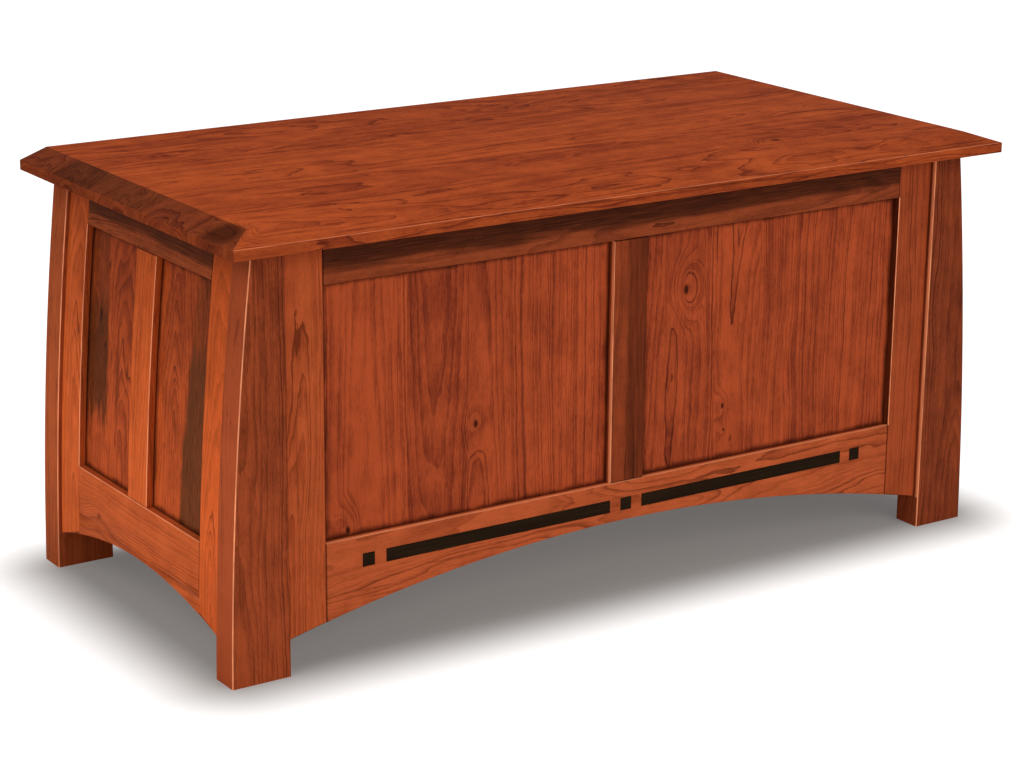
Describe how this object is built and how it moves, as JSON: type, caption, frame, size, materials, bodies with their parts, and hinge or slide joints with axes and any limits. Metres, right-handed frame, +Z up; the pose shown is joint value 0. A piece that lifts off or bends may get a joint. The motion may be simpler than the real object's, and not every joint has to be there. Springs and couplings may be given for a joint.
{
  "type": "blanket chest",
  "caption": "Frame-and-panel blanket chest with bowed legs, arched aprons, dark inlay and a bevelled lid that opens on butt hinges with a folding stay.",
  "frame": {"origin": "on the floor, under the middle of the lid", "axes": "+X along the length to the chest's right as seen from its front, +Y to the back, +Z up"},
  "size_m": [1.118, 0.556, 0.5322],
  "materials": {
    "dark_cherry": "dark stained, satin lacquer",
    "leg_cherry": "stained, satin lacquer",
    "stile_cherry": "stained, satin lacquer",
    "panel_cherry": "stained, satin lacquer",
    "lid_cherry": "stained, satin lacquer",
    "inside_wood": "planed, thin satin coat",
    "inlay_wood": "near-black hardwood, satin lacquer",
    "brass": "brushed"
  },
  "bodies": {
    "case": {"leg_front_left": "leg_cherry", "leg_front_right": "leg_cherry", "leg_back_left": "leg_cherry", "leg_back_right": "leg_cherry", "front_top_rail": "dark_cherry", "front_bottom_rail": "stile_cherry", "front_mullion": "dark_cherry", "front_left_stile": "stile_cherry", "front_right_stile": "stile_cherry", "front_left_panel": "panel_cherry", "front_right_panel": "panel_cherry", "back_top_rail": "dark_cherry", "back_bottom_rail": "stile_cherry", "back_mullion": "dark_cherry", "back_left_stile": "stile_cherry", "back_right_stile": "stile_cherry", "back_left_panel": "panel_cherry", "back_right_panel": "panel_cherry", "left_top_rail": "dark_cherry", "left_bottom_rail": "stile_cherry", "left_mullion": "dark_cherry", "left_front_stile": "stile_cherry", "left_back_stile": "stile_cherry", "left_front_panel": "panel_cherry", "left_back_panel": "panel_cherry", "right_top_rail": "dark_cherry", "right_bottom_rail": "stile_cherry", "right_mullion": "dark_cherry", "right_front_stile": "stile_cherry", "right_back_stile": "stile_cherry", "right_front_panel": "panel_cherry", "right_back_panel": "panel_cherry", "inlay_left_square": "inlay_wood", "inlay_left_strip": "inlay_wood", "inlay_middle_square": "inlay_wood", "inlay_right_strip": "inlay_wood", "inlay_right_square": "inlay_wood", "bottom_board": "inside_wood", "cleat_front": "inside_wood", "cleat_back": "inside_wood", "cleat_left": "inside_wood", "cleat_right": "inside_wood", "hinge_left_case_leaf": "brass", "hinge_left_pin": "brass", "hinge_middle_case_leaf": "brass", "hinge_middle_pin": "brass", "hinge_right_case_leaf": "brass", "hinge_right_pin": "brass", "stay_case_bracket": "brass"},
    "lid": {"lid_board": "lid_cherry", "hinge_left_lid_leaf": "brass", "hinge_middle_lid_leaf": "brass", "hinge_right_lid_leaf": "brass", "stay_lid_bracket": "brass"},
    "stay_lower": {"stay_lower_arm": "brass"},
    "stay_upper": {"stay_upper_arm": "brass"}
  },
  "joints": [
    {"name": "lid_hinge", "type": "hinge", "parent": "case", "child": "lid", "pos_m": [0, 0.268, 0.50665], "axis": [-1, 0, 0], "range_deg": [0, 95]},
    {"name": "stay_case_pivot", "type": "hinge", "parent": "case", "child": "stay_lower", "pos_m": [0.489, 0.184, 0.43165], "axis": [-1, 0, 0], "range_deg": [0, 110.1]},
    {"name": "stay_knee", "type": "hinge", "parent": "stay_lower", "child": "stay_upper", "pos_m": [0.4837, 0.07368, 0.41941], "axis": [-1, 0, 0], "range_deg": [-127.5, 0]}
  ],
  "couplings": [
    {"joint": "stay_case_pivot", "follows": "lid_hinge", "ratio": 1.158},
    {"joint": "stay_knee", "follows": "lid_hinge", "ratio": -1.3406}
  ]
}
